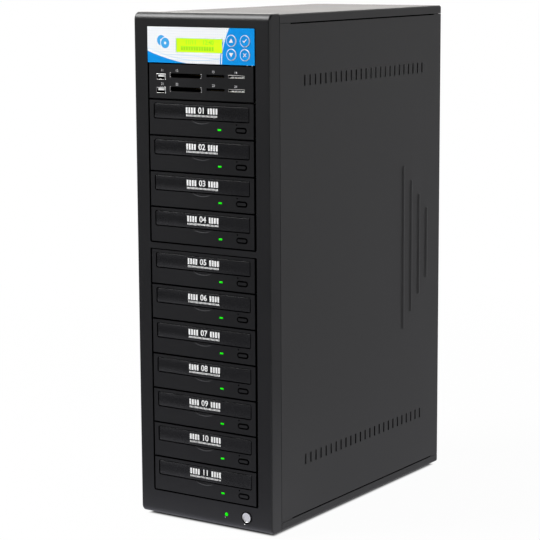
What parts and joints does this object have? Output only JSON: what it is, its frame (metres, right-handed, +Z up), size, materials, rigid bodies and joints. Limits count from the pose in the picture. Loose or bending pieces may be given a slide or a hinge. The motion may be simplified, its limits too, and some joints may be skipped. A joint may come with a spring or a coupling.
{
  "type": "media duplicator",
  "caption": "Free-standing disc duplicator tower: vented steel case, black bezel with a control panel and card reader above a stack of tray-loading disc drives that eject and slide out",
  "frame": {"origin": "on the floor, under the middle of the case's outer box", "axes": "+Z up, -Y towards the front with the drive trays, +X to the right seen from the front"},
  "size_m": [0.1924, 0.4026, 0.6045],
  "materials": {
    "bezel_plastic": "satin",
    "case_paint": "satin",
    "plated_sheet": "satin",
    "foot_rubber": "matte",
    "screw_metal": "polished",
    "black_plastic": "matte",
    "lamp_green": "gloss",
    "printed_film": "satin",
    "display_glass": "gloss",
    "board": "satin",
    "port_metal": "polished",
    "key_cap": "satin",
    "button_silver": "gloss",
    "drive_plastic": "satin"
  },
  "bodies": {
    "case": {"front_bezel": "bezel_plastic", "top_cover": "case_paint", "bottom_pan": "case_paint", "right_side_panel": "case_paint", "left_side_panel": "case_paint", "rear_panel": "case_paint", "left_cage_wall": "plated_sheet", "right_cage_wall": "plated_sheet", "feet": "foot_rubber", "panel_thumbscrews": "screw_metal", "power_switch_body": "black_plastic", "power_led": "lamp_green", "control_panel_overlay": "printed_film", "control_panel_face": "black_plastic", "display_module": "display_glass", "key_board": "board", "controller_tray": "plated_sheet", "controller_board": "board", "card_reader_face": "drive_plastic", "card_reader_board": "board", "usb_ports": "port_metal", "card_sockets": "black_plastic", "drive_casings": "plated_sheet", "drive_loaders": "black_plastic", "drive_bezels": "drive_plastic", "drive_leds": "lamp_green", "fan_frames": "black_plastic", "psu_case": "plated_sheet", "psu_inlet": "black_plastic"},
    "power_button": {"power_button": "button_silver"},
    "up_key": {"up_key": "key_cap"},
    "down_key": {"down_key": "key_cap"},
    "enter_key": {"enter_key": "key_cap"},
    "escape_key": {"escape_key": "key_cap"},
    "drive_01_tray": {"drive_01_tray": "drive_plastic"},
    "drive_01_eject_button": {"drive_01_eject_button": "drive_plastic"},
    "drive_02_tray": {"drive_02_tray": "drive_plastic"},
    "drive_02_eject_button": {"drive_02_eject_button": "drive_plastic"},
    "drive_03_tray": {"drive_03_tray": "drive_plastic"},
    "drive_03_eject_button": {"drive_03_eject_button": "drive_plastic"},
    "drive_04_tray": {"drive_04_tray": "drive_plastic"},
    "drive_04_eject_button": {"drive_04_eject_button": "drive_plastic"},
    "drive_05_tray": {"drive_05_tray": "drive_plastic"},
    "drive_05_eject_button": {"drive_05_eject_button": "drive_plastic"},
    "drive_06_tray": {"drive_06_tray": "drive_plastic"},
    "drive_06_eject_button": {"drive_06_eject_button": "drive_plastic"},
    "drive_07_tray": {"drive_07_tray": "drive_plastic"},
    "drive_07_eject_button": {"drive_07_eject_button": "drive_plastic"},
    "drive_08_tray": {"drive_08_tray": "drive_plastic"},
    "drive_08_eject_button": {"drive_08_eject_button": "drive_plastic"},
    "drive_09_tray": {"drive_09_tray": "drive_plastic"},
    "drive_09_eject_button": {"drive_09_eject_button": "drive_plastic"},
    "drive_10_tray": {"drive_10_tray": "drive_plastic"},
    "drive_10_eject_button": {"drive_10_eject_button": "drive_plastic"},
    "drive_11_tray": {"drive_11_tray": "drive_plastic"},
    "drive_11_eject_button": {"drive_11_eject_button": "drive_plastic"},
    "upper_fan_rotor": {"upper_fan_rotor": "black_plastic"},
    "lower_fan_rotor": {"lower_fan_rotor": "black_plastic"},
    "psu_fan_rotor": {"psu_fan_rotor": "black_plastic"},
    "psu_rocker": {"psu_rocker": "black_plastic"}
  },
  "joints": [
    {"name": "drive_01_tray_slide", "type": "slide", "parent": "case", "child": "drive_01_tray", "axis": [0, -1, 0], "range_m": [0, 0.14]},
    {"name": "drive_01_eject_button_press", "type": "slide", "parent": "case", "child": "drive_01_eject_button", "axis": [0, 1, 0], "range_m": [0, 0.0008], "stiffness_N_per_m": 1000},
    {"name": "drive_02_tray_slide", "type": "slide", "parent": "case", "child": "drive_02_tray", "axis": [0, -1, 0], "range_m": [0, 0.14]},
    {"name": "drive_02_eject_button_press", "type": "slide", "parent": "case", "child": "drive_02_eject_button", "axis": [0, 1, 0], "range_m": [0, 0.0008], "stiffness_N_per_m": 1000},
    {"name": "drive_03_tray_slide", "type": "slide", "parent": "case", "child": "drive_03_tray", "axis": [0, -1, 0], "range_m": [0, 0.14]},
    {"name": "drive_03_eject_button_press", "type": "slide", "parent": "case", "child": "drive_03_eject_button", "axis": [0, 1, 0], "range_m": [0, 0.0008], "stiffness_N_per_m": 1000},
    {"name": "drive_04_tray_slide", "type": "slide", "parent": "case", "child": "drive_04_tray", "axis": [0, -1, 0], "range_m": [0, 0.14]},
    {"name": "drive_04_eject_button_press", "type": "slide", "parent": "case", "child": "drive_04_eject_button", "axis": [0, 1, 0], "range_m": [0, 0.0008], "stiffness_N_per_m": 1000},
    {"name": "drive_05_tray_slide", "type": "slide", "parent": "case", "child": "drive_05_tray", "axis": [0, -1, 0], "range_m": [0, 0.14]},
    {"name": "drive_05_eject_button_press", "type": "slide", "parent": "case", "child": "drive_05_eject_button", "axis": [0, 1, 0], "range_m": [0, 0.0008], "stiffness_N_per_m": 1000},
    {"name": "drive_06_tray_slide", "type": "slide", "parent": "case", "child": "drive_06_tray", "axis": [0, -1, 0], "range_m": [0, 0.14]},
    {"name": "drive_06_eject_button_press", "type": "slide", "parent": "case", "child": "drive_06_eject_button", "axis": [0, 1, 0], "range_m": [0, 0.0008], "stiffness_N_per_m": 1000},
    {"name": "drive_07_tray_slide", "type": "slide", "parent": "case", "child": "drive_07_tray", "axis": [0, -1, 0], "range_m": [0, 0.14]},
    {"name": "drive_07_eject_button_press", "type": "slide", "parent": "case", "child": "drive_07_eject_button", "axis": [0, 1, 0], "range_m": [0, 0.0008], "stiffness_N_per_m": 1000},
    {"name": "drive_08_tray_slide", "type": "slide", "parent": "case", "child": "drive_08_tray", "axis": [0, -1, 0], "range_m": [0, 0.14]},
    {"name": "drive_08_eject_button_press", "type": "slide", "parent": "case", "child": "drive_08_eject_button", "axis": [0, 1, 0], "range_m": [0, 0.0008], "stiffness_N_per_m": 1000},
    {"name": "drive_09_tray_slide", "type": "slide", "parent": "case", "child": "drive_09_tray", "axis": [0, -1, 0], "range_m": [0, 0.14]},
    {"name": "drive_09_eject_button_press", "type": "slide", "parent": "case", "child": "drive_09_eject_button", "axis": [0, 1, 0], "range_m": [0, 0.0008], "stiffness_N_per_m": 1000},
    {"name": "drive_10_tray_slide", "type": "slide", "parent": "case", "child": "drive_10_tray", "axis": [0, -1, 0], "range_m": [0, 0.14]},
    {"name": "drive_10_eject_button_press", "type": "slide", "parent": "case", "child": "drive_10_eject_button", "axis": [0, 1, 0], "range_m": [0, 0.0008], "stiffness_N_per_m": 1000},
    {"name": "drive_11_tray_slide", "type": "slide", "parent": "case", "child": "drive_11_tray", "axis": [0, -1, 0], "range_m": [0, 0.14]},
    {"name": "drive_11_eject_button_press", "type": "slide", "parent": "case", "child": "drive_11_eject_button", "axis": [0, 1, 0], "range_m": [0, 0.0008], "stiffness_N_per_m": 1000},
    {"name": "up_key_press", "type": "slide", "parent": "case", "child": "up_key", "axis": [0, 1, 0], "range_m": [0, 0.0005], "stiffness_N_per_m": 2500},
    {"name": "down_key_press", "type": "slide", "parent": "case", "child": "down_key", "axis": [0, 1, 0], "range_m": [0, 0.0005], "stiffness_N_per_m": 2500},
    {"name": "enter_key_press", "type": "slide", "parent": "case", "child": "enter_key", "axis": [0, 1, 0], "range_m": [0, 0.0005], "stiffness_N_per_m": 2500},
    {"name": "escape_key_press", "type": "slide", "parent": "case", "child": "escape_key", "axis": [0, 1, 0], "range_m": [0, 0.0005], "stiffness_N_per_m": 2500},
    {"name": "power_button_press", "type": "slide", "parent": "case", "child": "power_button", "axis": [0, 1, 0], "range_m": [0, 0.003], "stiffness_N_per_m": 800},
    {"name": "upper_fan_rotor_spin", "type": "hinge", "parent": "case", "child": "upper_fan_rotor", "pos_m": [0, 0.18, 0.345], "axis": [0, 1, 0], "continuous": true},
    {"name": "lower_fan_rotor_spin", "type": "hinge", "parent": "case", "child": "lower_fan_rotor", "pos_m": [0, 0.18, 0.165], "axis": [0, 1, 0], "continuous": true},
    {"name": "psu_fan_rotor_spin", "type": "hinge", "parent": "case", "child": "psu_fan_rotor", "pos_m": [0.031, 0.18, 0.5525], "axis": [0, 1, 0], "continuous": true},
    {"name": "psu_rocker_tilt", "type": "hinge", "parent": "case", "child": "psu_rocker", "pos_m": [-0.04, 0.18925, 0.5325], "axis": [1, 0, 0], "range_deg": [-16, 0]}
  ]
}
